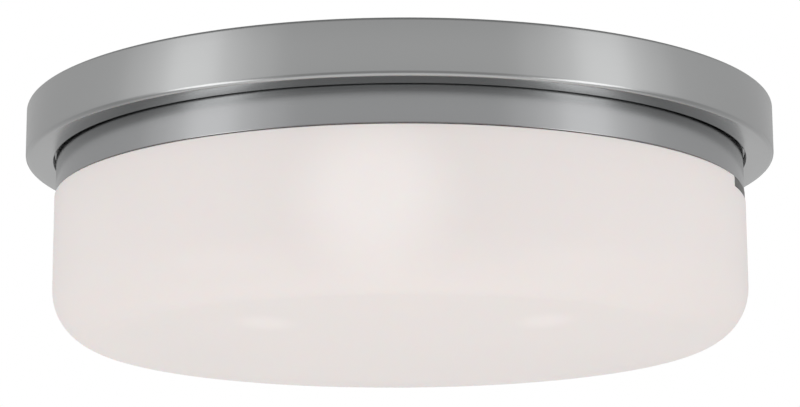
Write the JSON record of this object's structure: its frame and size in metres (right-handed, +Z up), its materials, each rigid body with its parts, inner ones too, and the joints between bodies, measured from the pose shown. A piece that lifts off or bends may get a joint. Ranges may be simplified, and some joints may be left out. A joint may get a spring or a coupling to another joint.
{
  "type": "flush mount ceiling light",
  "caption": "Round flush ceiling light: brushed metal canopy and collar, opal glass drum shade on spring clips with a finger tab, lamps in lampholders inside.",
  "frame": {"origin": "centre of the outlet box screw pattern, on the crossbar's upper face, level with the ceiling plane", "axes": "+Z up into the ceiling, the light hangs towards -Z; +X along the crossbar; -Y is the side that faces a viewer"},
  "size_m": [0.33, 0.33, 0.1119],
  "materials": {
    "brushed_nickel": "steel, brushed nickel plated",
    "opal_glass": "moulded opal white glass, fire polished",
    "spring_steel": "stamped spring steel, dark tempered",
    "zinc_plated_steel": "bright zinc plated steel",
    "green_screw": "green dyed zinc plated steel",
    "cushion_rubber": "white silicone rubber",
    "bushing_nylon": "moulded black nylon",
    "insulation_fibre": "glass fibre mat",
    "porcelain": "glazed porcelain",
    "brass": "rolled brass",
    "lamp_glass": "frosted bulb glass",
    "lamp_base_aluminium": "rolled aluminium",
    "lamp_insulator_glass": "black base glass",
    "tinned_contact": "tinned brass"
  },
  "bodies": {
    "canopy": {"bracket_rivets": "zinc_plated_steel", "canopy_nuts": "zinc_plated_steel", "canopy_pan": "brushed_nickel", "canopy_screws": "zinc_plated_steel", "canopy_washers": "zinc_plated_steel", "clip_rivets": "zinc_plated_steel", "collar_rivets": "zinc_plated_steel", "crossbar": "zinc_plated_steel", "glass_collar": "brushed_nickel", "ground_screw": "green_screw", "insulation_pad": "insulation_fibre", "lampholder_1_body": "porcelain", "lampholder_1_bracket": "zinc_plated_steel", "lampholder_1_screws": "zinc_plated_steel", "lampholder_1_shell": "brass", "lampholder_1_terminals": "brass", "lampholder_1_tongue": "brass", "lampholder_2_body": "porcelain", "lampholder_2_bracket": "zinc_plated_steel", "lampholder_2_screws": "zinc_plated_steel", "lampholder_2_shell": "brass", "lampholder_2_terminals": "brass", "lampholder_2_tongue": "brass", "lampholder_3_body": "porcelain", "lampholder_3_bracket": "zinc_plated_steel", "lampholder_3_screws": "zinc_plated_steel", "lampholder_3_shell": "brass", "lampholder_3_terminals": "brass", "lampholder_3_tongue": "brass", "rim_cushions": "cushion_rubber", "shade_clip_1": "spring_steel", "shade_clip_2": "spring_steel", "shade_clip_3": "spring_steel", "wire_bushing": "bushing_nylon"},
    "release_tab": {"release_tab": "spring_steel"},
    "shade": {"glass_shade": "opal_glass"},
    "bulb_1_carrier": {"bulb_1_contact": "tinned_contact"},
    "bulb_1": {"bulb_1_glass": "lamp_glass", "bulb_1_base": "lamp_base_aluminium", "bulb_1_insulator": "lamp_insulator_glass"},
    "bulb_2_carrier": {"bulb_2_contact": "tinned_contact"},
    "bulb_2": {"bulb_2_glass": "lamp_glass", "bulb_2_base": "lamp_base_aluminium", "bulb_2_insulator": "lamp_insulator_glass"},
    "bulb_3_carrier": {"bulb_3_contact": "tinned_contact"},
    "bulb_3": {"bulb_3_glass": "lamp_glass", "bulb_3_base": "lamp_base_aluminium", "bulb_3_insulator": "lamp_insulator_glass"}
  },
  "joints": [
    {"name": "shade_drop", "type": "slide", "parent": "canopy", "child": "shade", "axis": [0, 0, -1], "range_m": [0, 0.1], "deforming": ["shade_clip_1", "shade_clip_2", "shade_clip_3"]},
    {"name": "release_tab_pull", "type": "slide", "parent": "canopy", "child": "release_tab", "axis": [0.9781, -0.2079, 0], "range_m": [0, 0.002], "stiffness_N_per_m": 800, "springref_m": -0.001},
    {"name": "bulb_1_unscrew", "type": "slide", "parent": "canopy", "child": "bulb_1_carrier", "axis": [-0.9811, 0.173, -0.0872], "range_m": [0, 0.01814]},
    {"name": "bulb_1_turn", "type": "hinge", "parent": "bulb_1_carrier", "child": "bulb_1", "pos_m": [0.06524, -0.07751, -0.0452], "axis": [-0.9811, 0.173, -0.0872], "range_deg": [0, 1800]},
    {"name": "bulb_2_unscrew", "type": "slide", "parent": "canopy", "child": "bulb_2_carrier", "axis": [0.3407, -0.9361, -0.0872], "range_m": [0, 0.01814]},
    {"name": "bulb_2_turn", "type": "hinge", "parent": "bulb_2_carrier", "child": "bulb_2", "pos_m": [0.0345, 0.09525, -0.0452], "axis": [0.3407, -0.9361, -0.0872], "range_deg": [0, 1800]},
    {"name": "bulb_3_unscrew", "type": "slide", "parent": "canopy", "child": "bulb_3_carrier", "axis": [0.6403, 0.7631, -0.0872], "range_m": [0, 0.01814]},
    {"name": "bulb_3_turn", "type": "hinge", "parent": "bulb_3_carrier", "child": "bulb_3", "pos_m": [-0.09974, -0.01774, -0.0452], "axis": [0.6403, 0.7631, -0.0872], "range_deg": [0, 1800]}
  ],
  "couplings": [
    {"joint": "bulb_1_unscrew", "follows": "bulb_1_turn", "m_per_rad": 0.00057751},
    {"joint": "bulb_2_unscrew", "follows": "bulb_2_turn", "m_per_rad": 0.00057751},
    {"joint": "bulb_3_unscrew", "follows": "bulb_3_turn", "m_per_rad": 0.00057751}
  ]
}
